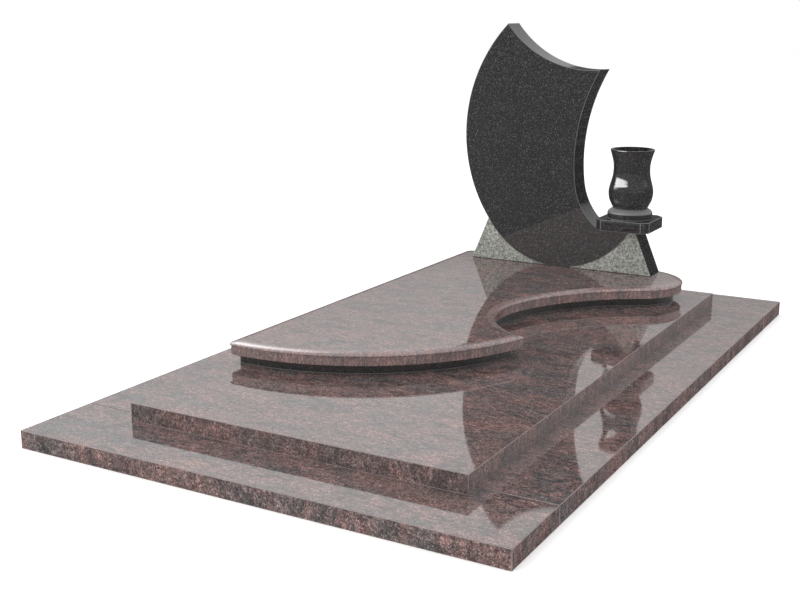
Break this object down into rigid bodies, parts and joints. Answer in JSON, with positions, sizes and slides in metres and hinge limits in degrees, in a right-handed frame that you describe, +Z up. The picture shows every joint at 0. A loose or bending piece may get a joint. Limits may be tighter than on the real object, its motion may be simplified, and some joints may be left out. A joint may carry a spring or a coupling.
{
  "type": "grave monument",
  "caption": "Granite grave monument: a ground frame and tier slab under an S-shaped moulded cap, with a crescent stele and a turned flower vase on a shelf plate.",
  "frame": {"origin": "On the ground, at the middle of the ground frame's plan", "axes": "+Z up, +Y from the foot of the grave to the stele, +X to the right of someone who stands at the foot and looks at the stele"},
  "size_m": [1.4, 2.4, 1.0608],
  "materials": {
    "brown_granite": "mirror polished",
    "black_granite": "mirror polished, foot of the stele bush-hammered"
  },
  "bodies": {
    "root": {"base_front": "brown_granite", "base_back": "brown_granite", "base_left": "brown_granite", "base_right": "brown_granite", "tier": "brown_granite", "spacer": "black_granite", "cap": "brown_granite", "stele": "black_granite", "vase_shelf": "black_granite", "vase": "black_granite"}
  },
  "joints": []
}
